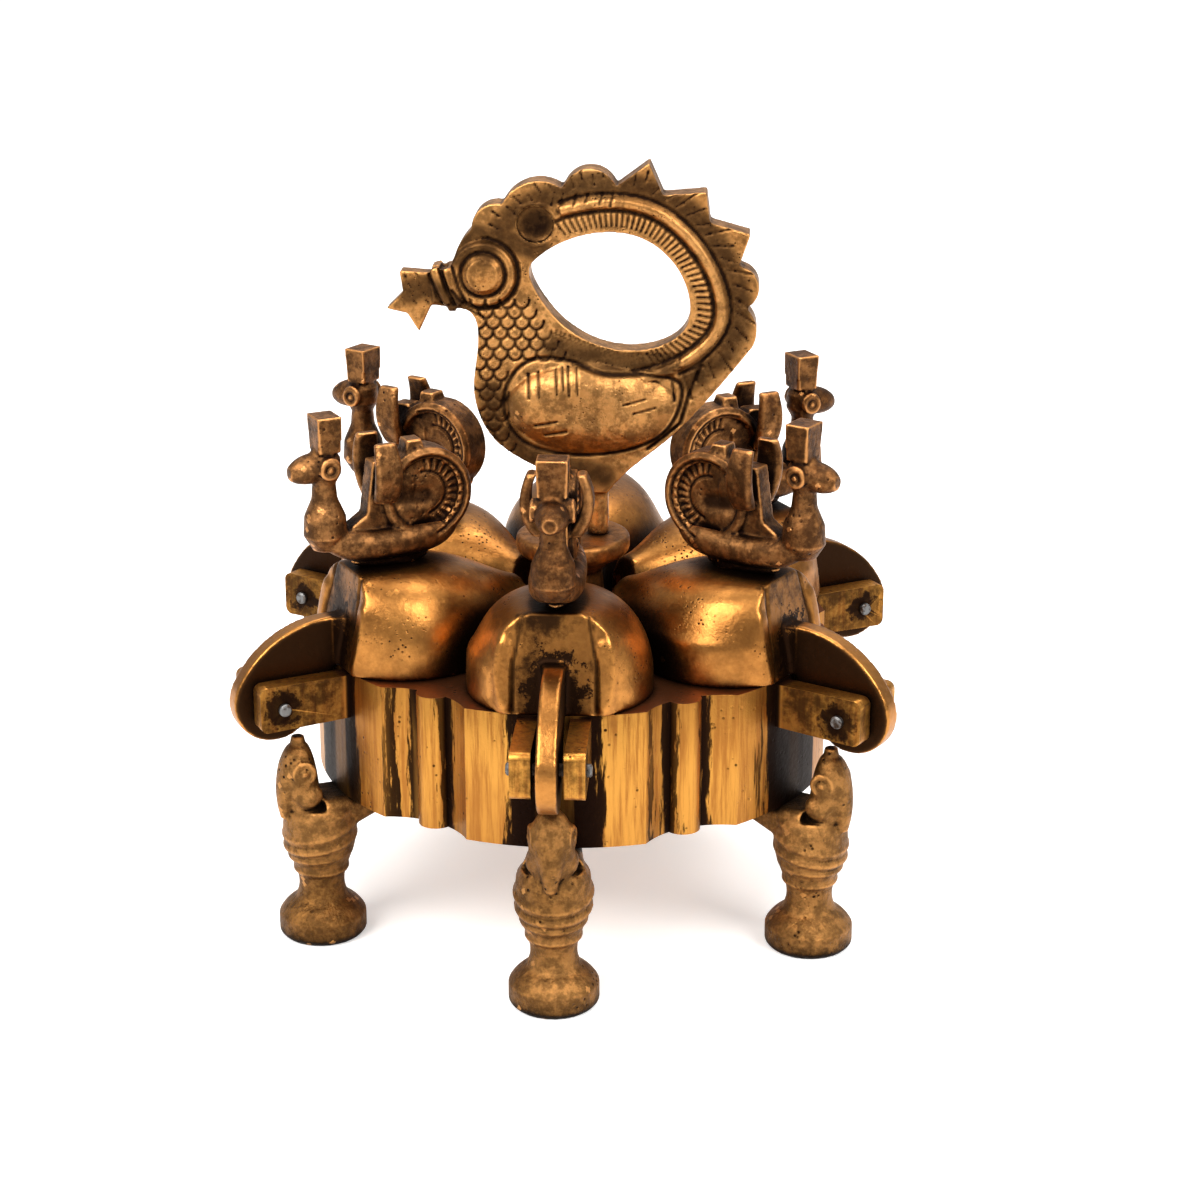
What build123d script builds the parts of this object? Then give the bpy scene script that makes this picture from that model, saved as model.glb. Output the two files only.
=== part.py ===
"""Cast brass vermilion box: six hinged petal lids with bird knobs on a lobed drum.

Millimetres. +Z is up, the front lid points along -Y, and the origin is on the
ground under the middle of the drum. Everything that repeats round the drum is
modelled along +X, with X radial and Y tangential, and then turned into place.
"""
import math
import os

from build123d import *

os.makedirs("parts", exist_ok=True)

# Petals round the drum
petals = 6
front_angle = -90
petal_names = ["front", "front_right", "back_right", "back", "back_left", "front_left"]
leg_petals = {"leg_front": 0, "leg_right": 1, "leg_back": 3, "leg_left": 5}

# Drum
drum_r = 41.3
drum_bottom_z = 23.8
drum_h = 21.3
floor_t = 2.2
wall_t = 2.2
scallop_depth = 3.3
scallop_r = 13.0
rib_r = 2.7
rib_reach = 0.9
well_fillet = 2.5

# Lids
lid_gap = 0.4
lid_point_r = 1.0
lid_h = 15.0
lid_wall = 1.6
lid_tip_r = 9.8
lid_tip_h = 9.4
facet_lean = 11.0
facet_share = 12.1 / 14.2
arch_power = 2.6

# Hinges
pin_reach = 10.4
pin_drop = 4.2
pin_radius = 1.0
pin_fit = 0.05
pin_seat_fit = 0.02
pin_proud = 0.8
ear_t = 3.1
ear_h = 7.3
ear_reach = 3.8
ear_top_drop = 0.4
ear_corner_r = 1.2
tongue_t = 3.2
tongue_side_fit = 0.8
tongue_rise = 7.6
tongue_flare = 0.8
knuckle_r = 6.5

# Finial
disc_r = 9.1
disc_t = 4.0
disc_z = 56.3
column_r = 5.6
stem_x = 4.0
stem_r = 1.7
plate_t = 5.0
recess_depth = 0.9

# Bird knobs
knob_gap = 1.5
knob_shift = 0.8
knob_pad_r = 3.4
knob_pad_half_w = 2.2
tail_t = 4.6
tail_r = 7.4
tail_rim = 1.7
tail_hole_r = 1.5

# Legs
leg_reach = 3.3
foot_r = 6.9
foot_h = 3.6
foot_shoulder = 2.6
ankle_r = 3.6
ankle_z = 9.4
breast_r = 5.8
breast_z = 17.6

# Values that follow from the sizes above
deck_z = drum_bottom_z + drum_h
petal_step = 360 / petals
half_step = math.radians(petal_step / 2)
# The facet lies over the drum's wall, at facet_share of the round end's radius from the lid's widest place
lid_wide_r = (drum_r + facet_share * lid_gap) / (1 + facet_share * math.sin(half_step))
lid_round_r = lid_wide_r * math.sin(half_step) - lid_gap
lid_top_z = deck_z + lid_h
pin_r = drum_r + pin_reach
pin_z = deck_z - pin_drop
leg_axis_r = drum_r + leg_reach
knob_x = lid_wide_r + knob_shift
ear_gap = tongue_t + 2 * tongue_side_fit
hinge_half_w = ear_gap / 2 + ear_t
facet_tilt = math.radians(facet_lean)


def petal_angle(index):
    """Angle about Z of one petal, counted from the front one."""
    return front_angle + index * petal_step


def petal_sketch(z, inset, tip_r, outer_r):
    """Teardrop plan of a lid or a well, set in from the lid's edge by inset."""
    side = lid_gap + inset
    with BuildSketch(Plane.XY.offset(z)) as plan:
        with Locations((lid_wide_r, 0)):
            Circle(lid_wide_r * math.sin(half_step) - side)
        with Locations(((lid_point_r + side) / math.sin(half_step), 0)):
            Circle(lid_point_r)
        make_hull()
        Circle(outer_r, mode=Mode.INTERSECT)
        Circle(tip_r, mode=Mode.SUBTRACT)
    return plan.sketch


def lid_half_width(x):
    """Half the plan width of a lid at a distance x from the centre."""
    tangent_x = lid_wide_r - lid_round_r * math.sin(half_step)
    if x < tangent_x:
        return x * math.tan(half_step) - lid_gap / math.cos(half_step)
    return math.sqrt(lid_round_r**2 - (x - lid_wide_r) ** 2)


def arch_section(x, inset, height):
    """Closed arch across a lid: steep sides and a full crown."""
    half_w = lid_half_width(x) - inset
    crown = height - inset
    points = []
    for degrees in (0, 24, 48, 68, 90, 112, 132, 156, 180):
        c, s = math.cos(math.radians(degrees)), math.sin(math.radians(degrees))
        power = 2 / arch_power
        points.append((half_w * math.copysign(abs(c) ** power, c), crown * abs(s) ** power))
    points[0], points[-1] = (half_w, 0), (-half_w, 0)
    with BuildSketch(Plane(origin=(x, 0, deck_z), x_dir=(0, 1, 0), z_dir=(1, 0, 0))) as section:
        with BuildLine():
            Spline(*points, tangents=((0, 1), (0, -1)))
            Line(points[-1], points[0])
        make_face()
    return section.sketch


def dome_stations():
    """Distances from the centre and heights of the arches that shape a lid."""
    first, last = lid_tip_r - 1.5, lid_wide_r + 0.93 * lid_round_r
    full = lid_h + 0.35
    return [
        (first, lid_tip_h),
        (first + 0.30 * (last - first), 0.5 * (lid_tip_h + full) + 0.9),
        (first + 0.55 * (last - first), full - 0.2),
        (first + 0.72 * (last - first), full),
        (first + 0.88 * (last - first), full - 0.1),
        (last, full - 1.2),
    ]


def facet_plane(inset):
    """Leaning plane of the flat facet at a lid's outer end."""
    normal = (math.cos(facet_tilt), 0, math.sin(facet_tilt))
    start = drum_r - inset / math.cos(facet_tilt)
    return Plane(origin=(start, 0, deck_z), z_dir=normal)


# Hinge ears, one pair, cast with the drum
with BuildPart() as ear_pair:
    for side in (-1, 1):
        with BuildSketch(Plane.XZ.offset(side * (ear_gap + ear_t) / 2)) as ear:
            with BuildLine():
                Polyline(
                    (drum_r - wall_t, deck_z - ear_top_drop),
                    (pin_r + ear_reach, deck_z - ear_top_drop),
                    (pin_r + ear_reach, deck_z - ear_top_drop - ear_h),
                    (drum_r - wall_t, deck_z - ear_h),
                    close=True,
                )
            make_face()
            fillet(ear.vertices().group_by(Axis.X)[-1], ear_corner_r)
            with Locations((pin_r, pin_z)):
                Circle(pin_radius + pin_seat_fit, mode=Mode.SUBTRACT)
        extrude(amount=ear_t / 2, both=True)

# Well in one petal of the drum
with BuildPart() as well:
    add(petal_sketch(drum_bottom_z + floor_t, wall_t, lid_tip_r + wall_t, drum_r - wall_t))
    extrude(amount=drum_h)
    fillet(well.faces().sort_by(Axis.Z)[0].edges(), well_fillet)

# Drum: lobed wall with a rib between two grooves, six wells and six pairs of ears
with BuildPart() as box_body:
    with BuildSketch(Plane.XY.offset(drum_bottom_z)):
        Circle(drum_r)
        with PolarLocations(drum_r - scallop_depth + scallop_r, petals):
            Circle(scallop_r, mode=Mode.SUBTRACT)
        with PolarLocations(drum_r - rib_reach - rib_r, petals):
            Circle(rib_r)
    extrude(amount=drum_h)
    with PolarLocations(0, petals, start_angle=front_angle):
        add(ear_pair.part)
    with PolarLocations(0, petals, start_angle=front_angle):
        add(well.part, mode=Mode.SUBTRACT)
box_body.part.label = "box_body"
export_step(box_body.part, "parts/box_body.step")

# Inside of a lid, as a solid
with BuildPart() as lid_core:
    loft([arch_section(x, lid_wall, h) for x, h in dome_stations()])
    with BuildSketch(Plane.XY.offset(deck_z)):
        Circle(lid_tip_r + lid_wall)
    extrude(amount=lid_h, mode=Mode.SUBTRACT)
    split(bisect_by=facet_plane(lid_wall), keep=Keep.BOTTOM)

# Hinge tongue: a plate that rises in an arc to the lid and turns on the pin
with BuildPart() as tongue:
    facet_top = drum_r - tongue_rise * math.tan(facet_tilt)
    root_x = facet_top - 0.6 * lid_wall
    with BuildSketch(Plane.XZ):
        with BuildLine():
            shoulder = knuckle_r * math.cos(math.radians(35)), knuckle_r * math.sin(math.radians(35))
            heel = knuckle_r * math.cos(math.radians(215)), knuckle_r * math.sin(math.radians(215))
            top = (root_x, deck_z + tongue_rise)
            end = (pin_r + shoulder[0], pin_z + shoulder[1])
            ThreePointArc(top, (pin_r - 2.2, pin_z + 1.62 * knuckle_r), end)
            Line(end, (pin_r, pin_z))
            Line((pin_r, pin_z), (pin_r + heel[0], pin_z + heel[1]))
            Line((pin_r + heel[0], pin_z + heel[1]), (drum_r + 0.3, deck_z))
            Line((drum_r + 0.3, deck_z), (root_x, deck_z))
            Line((root_x, deck_z), top)
        make_face()
        with Locations((pin_r, pin_z)):
            Circle(knuckle_r)
    extrude(amount=tongue_t / 2, both=True)
    with BuildSketch(Plane.XY.offset(deck_z + tongue_rise)):
        with BuildLine():
            half = tongue_t / 2
            Polyline(
                (root_x, half + tongue_flare),
                (root_x, -half - tongue_flare),
                (facet_top + 2.2, -half),
                (facet_top + 2.2, half),
                close=True,
            )
        make_face()
    extrude(amount=-0.6 * tongue_rise, taper=8)
    with BuildSketch(Plane.XZ):
        with Locations((pin_r, pin_z)):
            Circle(pin_radius + pin_fit)
    extrude(amount=tongue_t, both=True, mode=Mode.SUBTRACT)

# Lid: hollow teardrop dome with a flat facet at its outer end
with BuildPart() as lid:
    loft([arch_section(x, 0, h) for x, h in dome_stations()])
    with BuildSketch(Plane.XY.offset(deck_z)):
        Circle(lid_tip_r)
    extrude(amount=lid_h + 1, mode=Mode.SUBTRACT)
    split(bisect_by=facet_plane(0), keep=Keep.BOTTOM)
    split(bisect_by=Plane.XY.offset(lid_top_z), keep=Keep.BOTTOM)
    add(lid_core.part, mode=Mode.SUBTRACT)
    add(tongue.part)

# Hinge pin
with BuildPart() as pin:
    with BuildSketch(Plane.XZ):
        with Locations((pin_r, pin_z)):
            Circle(pin_radius)
    extrude(amount=hinge_half_w + pin_proud, both=True)
    chamfer(pin.edges().filter_by(GeomType.CIRCLE), 0.25)

# Bird knob: boat-shaped body, curled tail, raised wings, crested head; X is measured from its pad
knob_z = lid_top_z + knob_gap
with BuildPart() as knob:
    # Pad that is riveted to the lid
    with BuildSketch(Plane.XY.offset(lid_top_z)):
        with Locations((0, 0)):
            Ellipse(knob_pad_r, knob_pad_half_w)
    extrude(amount=knob_gap + 0.6)
    # Boat-shaped body
    hull = []
    for x, half_w, low, high in (
        (-9.4, 1.6, 3.0, 5.0),
        (-6.0, 3.4, 0.6, 5.0),
        (1.0, 4.2, 0.0, 4.6),
        (8.0, 3.9, 0.2, 4.8),
        (12.6, 2.2, 2.4, 5.4),
    ):
        station = Plane(origin=(x, 0, knob_z + (low + high) / 2), x_dir=(0, 1, 0), z_dir=(1, 0, 0))
        with BuildSketch(station, mode=Mode.PRIVATE) as rib:
            RectangleRounded(2 * half_w, high - low, 0.45 * min(2 * half_w, high - low))
        hull.append(rib.sketch)
    loft(hull)
    # Curled tail: rimmed disc on edge, with a sunk middle and a small hole
    with BuildSketch(Plane.XZ):
        with Locations((-4.1, knob_z + 9.2)):
            Circle(tail_r)
    extrude(amount=tail_t / 2, both=True)
    for side in (-1, 1):
        with BuildSketch(Plane.XZ.offset(side * tail_t / 2)):
            with Locations((-3.6, knob_z + 9.4)):
                Circle(tail_r - tail_rim)
        extrude(amount=-side * 0.9, mode=Mode.SUBTRACT)
    with BuildSketch(Plane.XZ):
        with Locations((-3.4, knob_z + 8.0)):
            Circle(tail_hole_r)
    extrude(amount=tail_t, both=True, mode=Mode.SUBTRACT)
    # Button on top of the tail
    with BuildSketch(Plane.XY.offset(knob_z + 15.5)):
        with Locations((-2.4, 0)):
            Rectangle(3.0, 3.4)
    extrude(amount=2.4, taper=5)
    # Back that joins tail and wings to the body
    with BuildSketch(Plane.XZ):
        with BuildLine():
            Polyline(
                (-2.0, knob_z + 3.0),
                (10.0, knob_z + 3.0),
                (8.2, knob_z + 5.4),
                (5.8, knob_z + 7.0),
                (4.6, knob_z + 15.2),
                (1.4, knob_z + 15.4),
                (-2.0, knob_z + 12.0),
                close=True,
            )
        make_face()
    extrude(amount=1.7, both=True)
    # Raised wings
    for side in (-1, 1):
        with BuildSketch(Plane.XY.offset(knob_z + 9.0)) as wing_foot:
            with Locations((3.0, side * 2.4)):
                RectangleRounded(3.6, 2.6, 1.0)
        with BuildSketch(Plane.XY.offset(knob_z + 14.0)) as wing_mid:
            with Locations((3.2, side * 4.6)):
                RectangleRounded(4.4, 1.7, 0.8)
        with BuildSketch(Plane.XY.offset(knob_z + 18.6)) as wing_top:
            with Locations((3.4, side * 3.6)):
                RectangleRounded(3.4, 1.5, 0.7)
        loft()
    # Breast, neck and head
    with BuildSketch(Plane.XZ):
        with BuildLine():
            Polyline(
                (12.0, knob_z + 1.6),
                (14.0, knob_z + 2.1),
                (15.4, knob_z + 4.4),
                (15.2, knob_z + 7.4),
                (14.0, knob_z + 10.2),
                (13.8, knob_z + 12.6),
                (14.7, knob_z + 14.2),
                (14.6, knob_z + 16.6),
                (13.4, knob_z + 18.2),
                (12.0, knob_z + 18.2),
                close=True,
            )
        make_face()
    revolve(axis=Axis((12.0, 0, 0), (0, 0, 1)))
    # Beak
    with BuildSketch(Plane(origin=(13.6, 0, knob_z + 15.2), x_dir=(0, 1, 0), z_dir=(1, 0, 0))):
        Ellipse(2.4, 2.3)
    with BuildSketch(Plane(origin=(16.2, 0, knob_z + 14.9), x_dir=(0, 1, 0), z_dir=(1, 0, 0))):
        Ellipse(2.0, 1.9)
    with BuildSketch(Plane(origin=(17.6, 0, knob_z + 14.7), x_dir=(0, 1, 0), z_dir=(1, 0, 0))):
        Ellipse(1.0, 1.0)
    loft()
    # Ring eyes
    for side in (-1, 1):
        with BuildSketch(Plane.XZ.offset(side * 2.2)):
            with Locations((11.9, knob_z + 15.5)):
                Circle(1.7)
        extrude(amount=side * 0.9)
        with BuildSketch(Plane.XZ.offset(side * 3.1)):
            with Locations((11.9, knob_z + 15.5)):
                Circle(0.9)
        extrude(amount=-side * 0.5, mode=Mode.SUBTRACT)
    # Square crest
    with BuildSketch(Plane.XY.offset(knob_z + 17.6)):
        with Locations((11.6, 0)):
            Rectangle(3.6, 4.4)
    extrude(amount=5.6, taper=-1.5)
bird = knob.part.moved(Location((knob_x, 0, 0)))

# Leg: foot, ankle and a bird whose tail runs in under the drum
with BuildPart() as leg:
    with BuildSketch(Plane(origin=(leg_axis_r, 0, 0), x_dir=(1, 0, 0), z_dir=(0, -1, 0))):
        with BuildLine():
            shoulder_top = (ankle_r + 0.7, foot_h + foot_shoulder)
            body_top = (breast_r - 0.9, drum_bottom_z - 1.6)
            Polyline((0, 0), (foot_r - 0.7, 0), (foot_r, 0.8), (foot_r, foot_h))
            ThreePointArc((foot_r, foot_h), (0.83 * foot_r, foot_h + 0.6 * foot_shoulder), shoulder_top)
            Spline(
                shoulder_top,
                (ankle_r, ankle_z),
                (breast_r - 0.6, 0.5 * (ankle_z + breast_z) + 1.0),
                (breast_r, breast_z),
                body_top,
            )
            Polyline(body_top, (0, drum_bottom_z - 1.6), (0, 0))
        make_face()
    revolve(axis=Axis((leg_axis_r, 0, 0), (0, 0, 1)))
    # Back and tail under the drum
    with BuildSketch(Plane(origin=(leg_axis_r + 0.4, 0, drum_bottom_z), x_dir=(0, 1, 0), z_dir=(1, 0, 0))):
        with Locations((0, -3.4)):
            RectangleRounded(9.4, 6.8, 1.5)
    with BuildSketch(Plane(origin=(leg_axis_r - 6.6, 0, drum_bottom_z), x_dir=(0, 1, 0), z_dir=(1, 0, 0))):
        with Locations((0, -2.3)):
            RectangleRounded(7.6, 4.6, 1.3)
    with BuildSketch(Plane(origin=(leg_axis_r - 17.1, 0, drum_bottom_z), x_dir=(0, 1, 0), z_dir=(1, 0, 0))):
        with Locations((0, -0.7)):
            RectangleRounded(3.4, 1.4, 0.5)
    loft()
    # Neck and head outside the wall
    head = []
    for out, up, across, deep in (
        (1.4, 0.4, 7.4, 7.6),
        (2.6, 5.4, 6.4, 5.8),
        (3.3, 9.4, 6.9, 6.0),
        (3.4, 12.8, 5.8, 5.0),
        (3.2, 14.8, 3.4, 3.2),
    ):
        level = Plane(origin=(leg_axis_r + out, 0, breast_z + up), x_dir=(1, 0, 0), z_dir=(0, 0, 1))
        with BuildSketch(level, mode=Mode.PRIVATE) as slice_:
            Ellipse(deep / 2, across / 2)
        head.append(slice_.sketch)
    loft(head)
    with BuildSketch(Plane.XY.offset(breast_z + 14.0)):
        with Locations((leg_axis_r + 3.2, 0)):
            Circle(1.5)
    extrude(amount=2.4, taper=12)
    # Beak bent down on the breast
    for out, up, lean, half_w, half_d in (
        (4.0, 11.8, 0.25, 2.9, 2.2),
        (5.4, 7.0, 0.1, 1.9, 1.6),
        (5.6, 3.0, -0.1, 0.8, 0.8),
    ):
        station = Plane(origin=(leg_axis_r + out, 0, breast_z + up), x_dir=(0, 1, 0), z_dir=(lean, 0, -1))
        with BuildSketch(station):
            Ellipse(half_w, half_d)
    loft()
    split(bisect_by=Plane.XY, keep=Keep.TOP)
    with BuildSketch(Plane.XY.offset(drum_bottom_z)):
        Circle(drum_r + 0.2)
    extrude(amount=drum_h, mode=Mode.SUBTRACT)

for index, petal_name in enumerate(petal_names):
    for shape, kind in ((lid.part, "lid"), (pin.part, "hinge_pin"), (bird, "bird_knob")):
        piece = shape.rotate(Axis.Z, petal_angle(index))
        piece.label = f"{kind}_{petal_name}"
        export_step(piece, f"parts/{piece.label}.step")
for leg_name, index in leg_petals.items():
    piece = leg.part.rotate(Axis.Z, petal_angle(index))
    piece.label = leg_name
    export_step(piece, f"parts/{leg_name}.step")

# Finial base: disc on a column, standing on the middle of the deck
with BuildPart() as finial_base:
    with BuildSketch(Plane.XZ):
        with BuildLine():
            Line((0, deck_z), (column_r, deck_z))
            Line((column_r, deck_z), (column_r - 1.0, disc_z - 1.5))
            Spline(
                (column_r - 1.0, disc_z - 1.5),
                (0.75 * disc_r, disc_z + 0.1),
                (disc_r, disc_z + 0.55 * disc_t),
                tangents=((1, 0.2), (0, 1)),
            )
            Line((disc_r, disc_z + 0.55 * disc_t), (disc_r, disc_z + disc_t - 0.5))
            Line((disc_r, disc_z + disc_t - 0.5), (disc_r - 0.5, disc_z + disc_t))
            Line((disc_r - 0.5, disc_z + disc_t), (0, disc_z + disc_t))
            Line((0, disc_z + disc_t), (0, deck_z))
        make_face()
    revolve(axis=Axis.Z)
finial_base.part.label = "finial_base"
export_step(finial_base.part, "parts/finial_base.step")

# Peacock: flat cast bird that carries its tail as a ring with a scalloped comb
comb = [
    (-15.3, 109.5), (-13.2, 113.1), (-10.6, 113.4), (-5.6, 117.0), (-1.3, 115.9), (2.8, 119.0), (6.9, 116.3),
]
teeth = [
    (6.9, 116.3), (11.9, 120.0), (14.1, 115.0), (20.7, 115.6), (21.3, 110.9), (27.5, 109.2), (25.8, 104.2),
]
with BuildPart() as peacock:
    with BuildSketch(Plane.XZ) as outline:
        with BuildLine():
            Spline((-18.3, 103.0), (-17.4, 106.8), (-15.3, 109.5))
            for a, b, c in zip(comb[0::2], comb[1::2], comb[2::2]):
                ThreePointArc(a, b, c)
            Polyline(*teeth)
            ThreePointArc((25.8, 104.2), (28.9, 101.3), (27.0, 97.7))
            ThreePointArc((27.0, 97.7), (28.6, 94.8), (28.0, 91.5))
            Spline((28.0, 91.5), (21.2, 83.0), (14.3, 75.8), (9.1, 71.5), (5.7, 67.6))
            Line((5.7, 67.6), (2.3, 67.6))
            Spline(
                (2.3, 67.6), (-6.7, 72.3), (-12.4, 76.4), (-15.3, 84.0), (-14.6, 91.0), (-15.6, 96.4),
                (-18.3, 97.0),
            )
            Line((-18.3, 97.0), (-18.3, 103.0))
        make_face()
        with BuildLine():
            Spline(
                (-5.9, 104.5), (1.3, 108.6), (10.8, 108.4), (17.6, 101.3), (17.8, 94.8), (8.6, 90.7),
                (0.4, 93.4), (-4.6, 98.6), periodic=True,
            )
        make_face(mode=Mode.SUBTRACT)
    extrude(amount=plate_t / 2, both=True)
    for side in (-1, 1):
        with BuildSketch(Plane.XZ.offset(side * plate_t / 2)):
            with Locations((-5.5, 110.4)):
                Circle(3.1)
        extrude(amount=-side * recess_depth, mode=Mode.SUBTRACT)
        # Eye ring and eye
        with BuildSketch(Plane.XZ.offset(side * plate_t / 2)):
            with Locations((-13.6, 102.6)):
                Circle(5.0)
        extrude(amount=side * 0.8, taper=20)
        with BuildSketch(Plane.XZ.offset(side * (plate_t / 2 + 0.8))):
            with Locations((-13.6, 102.6)):
                Circle(2.9)
        extrude(amount=side * 0.9, taper=30)
        # Wing, swelling from the body
        with BuildSketch(Plane.XZ.offset(side * plate_t / 2)) as wing_edge:
            with Locations((3.4, 81.2)):
                Ellipse(13.6, 7.4, rotation=-3)
        with BuildSketch(Plane.XZ.offset(side * (plate_t / 2 + 1.7))) as wing_face:
            with Locations((2.0, 81.6)):
                Ellipse(10.4, 5.2, rotation=-3)
        with BuildSketch(Plane.XZ.offset(side * (plate_t / 2 + 2.5))) as wing_crown:
            with Locations((1.0, 81.8)):
                Ellipse(5.6, 2.8, rotation=-3)
        loft()
    # Beak: two bands and a flower held in the tip
    for x, half_w in ((-19.2, 2.5), (-21.6, 2.2)):
        with BuildSketch(Plane.YZ.offset(x)):
            with Locations((0, 99.9 - 0.25 * (x + 19.2))):
                RectangleRounded(2 * half_w, 7.0 + 0.3 * (x + 19.2), 1.2)
        extrude(amount=1.2)
    with BuildSketch(Plane.XZ):
        with BuildLine():
            Polyline(
                (-18.0, 97.0), (-21.8, 97.4), (-23.8, 93.1), (-25.6, 96.0), (-28.8, 96.7), (-26.2, 99.3),
                (-26.7, 102.7), (-22.4, 102.4), (-18.0, 103.0), close=True,
            )
        make_face()
    extrude(amount=1.7, both=True)
    # Stem
    with BuildSketch(Plane.XY.offset(disc_z + disc_t)):
        with Locations((stem_x, 0)):
            Circle(stem_r)
    extrude(amount=68.6 - disc_z - disc_t)
peacock.part.label = "peacock"
export_step(peacock.part, "parts/peacock.step")
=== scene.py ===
"""Looks of a cast brass vermilion box: lobed drum, petal lids, bird knobs and a peacock finial."""
import logging
import math
from dataclasses import dataclass
from enum import Enum
from typing import Iterable, Sequence

import bpy
from mathutils import Matrix, Vector
from mathutils.kdtree import KDTree


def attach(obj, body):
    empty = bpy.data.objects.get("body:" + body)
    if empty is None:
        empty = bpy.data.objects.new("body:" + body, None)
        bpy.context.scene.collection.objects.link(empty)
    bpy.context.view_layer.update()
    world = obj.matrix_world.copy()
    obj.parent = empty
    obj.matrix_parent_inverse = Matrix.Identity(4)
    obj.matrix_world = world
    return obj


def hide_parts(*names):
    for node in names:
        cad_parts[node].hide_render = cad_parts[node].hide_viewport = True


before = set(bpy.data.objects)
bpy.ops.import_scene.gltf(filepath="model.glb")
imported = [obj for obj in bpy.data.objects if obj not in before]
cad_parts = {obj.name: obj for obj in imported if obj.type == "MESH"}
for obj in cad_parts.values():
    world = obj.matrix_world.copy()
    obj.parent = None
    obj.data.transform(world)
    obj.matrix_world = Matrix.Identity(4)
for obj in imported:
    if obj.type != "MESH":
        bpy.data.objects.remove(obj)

log = logging.getLogger("vermilion_box")

MM = 0.001
WELD = 2e-6
Point = tuple[float, float, float]
Piece = bpy.types.Object
Socket = bpy.types.NodeSocket
PETALS: dict[str, float] = {
    "front": -90.0, "front_right": -30.0, "back_right": 30.0,
    "back": 90.0, "back_left": 150.0, "front_left": 210.0,
}
LEGS: dict[str, float] = {"leg_front": -90.0, "leg_right": -30.0, "leg_back": 90.0, "leg_left": 210.0}


class Side(Enum):
    """The two sides of a piece, as the sign of Y."""

    NEAR = -1
    FAR = 1


# Modelling helpers


def deselect_all() -> None:
    """Leave object mode clean, with nothing selected."""
    if bpy.context.object and bpy.context.object.mode != "OBJECT":
        bpy.ops.object.mode_set(mode="OBJECT")
    bpy.ops.object.select_all(action="DESELECT")


def activate(obj: Piece) -> None:
    """Make obj the only selected object, and the active one.

    Args:
        obj: The object to select.
    """
    deselect_all()
    obj.hide_set(False)
    obj.select_set(True)
    bpy.context.view_layer.objects.active = obj


def apply_modifier(obj: Piece, kind: str, **settings: object) -> None:
    """Add a modifier, set it up and apply it.

    Args:
        obj: The object to change.
        kind: Blender's name of the modifier's type.
        **settings: Attributes of the modifier.
    """
    activate(obj)
    modifier = obj.modifiers.new(kind.lower(), kind)
    for name, value in settings.items():
        setattr(modifier, name, value)
    bpy.ops.object.modifier_apply(modifier=modifier.name)


def settle(obj: Piece) -> None:
    """Put an object's place, turn and scale into its mesh.

    Args:
        obj: The object to change.
    """
    activate(obj)
    bpy.ops.object.transform_apply(location=True, rotation=True, scale=True)


def join(pieces: Sequence[Piece], name: str) -> Piece:
    """Join several meshes into one object.

    Args:
        pieces: The objects to join.
        name: The name of the joined object.

    Returns:
        The joined object, with its place in its mesh.
    """
    for piece in pieces:
        settle(piece)
    activate(pieces[0])
    for piece in pieces[1:]:
        piece.select_set(True)
    bpy.ops.object.join()
    joined = bpy.context.view_layer.objects.active
    joined.name = name
    joined.data.name = name
    return joined


def copy_of_node(node: str, name: str, degrees: float = 0.0) -> Piece:
    """Copy a CAD node's mesh, welded, as the start of a new piece.

    Args:
        node: The CAD node.
        name: The name of the new piece.
        degrees: The node's own turn about the upright axis, which is undone.

    Returns:
        The new object, at the origin.
    """
    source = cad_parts[node]
    mesh = source.data.copy()
    mesh.name = name
    mesh.materials.clear()
    copy = bpy.data.objects.new(name, mesh)
    bpy.context.scene.collection.objects.link(copy)
    activate(copy)
    bpy.ops.object.mode_set(mode="EDIT")
    bpy.ops.mesh.select_all(action="SELECT")
    bpy.ops.mesh.remove_doubles(threshold=WELD)
    bpy.ops.mesh.normals_make_consistent(inside=False)
    bpy.ops.object.mode_set(mode="OBJECT")
    if degrees:
        mesh.transform(Matrix.Rotation(math.radians(-degrees), 4, "Z"))
    return copy


def turned_copy(obj: Piece, name: str, degrees: float) -> Piece:
    """Copy a piece with its own mesh and turn the copy about the box's upright axis.

    Args:
        obj: The finished piece.
        name: The name of the copy.
        degrees: The turn.

    Returns:
        The copy, at the origin.
    """
    copy = obj.copy()
    copy.data = obj.data.copy()
    copy.name = name
    copy.data.name = name
    bpy.context.scene.collection.objects.link(copy)
    copy.data.transform(Matrix.Rotation(math.radians(degrees), 4, "Z"))
    return copy


def cast_skin(obj: Piece, voxel_mm: float, rounds: int) -> None:
    """Fuse a piece's overlapping shapes into one softened skin, as in a lost-wax casting.

    Args:
        obj: The piece.
        voxel_mm: The grain of the skin in millimetres.
        rounds: How often the skin is smoothed.
    """
    apply_modifier(obj, "REMESH", mode="VOXEL", voxel_size=voxel_mm * MM, use_smooth_shade=True)
    apply_modifier(obj, "SMOOTH", factor=0.5, iterations=rounds)


def pebble(centre: Point, size: Point, turn: Point = (0.0, 0.0, 0.0), rings: int = 8) -> Piece:
    """Round lump of given half sizes, used for eyes, seats and swellings.

    Args:
        centre: Its centre in millimetres.
        size: Its half sizes in millimetres.
        turn: Its turn about X, Y and Z in degrees.
        rings: How many rings of faces it has.

    Returns:
        The lump.
    """
    deselect_all()
    bpy.ops.mesh.primitive_uv_sphere_add(segments=2 * rings, ring_count=rings, radius=MM,
                                         location=tuple(c * MM for c in centre),
                                         rotation=tuple(math.radians(t) for t in turn))
    lump = bpy.context.object
    lump.scale = size
    return lump


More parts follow.
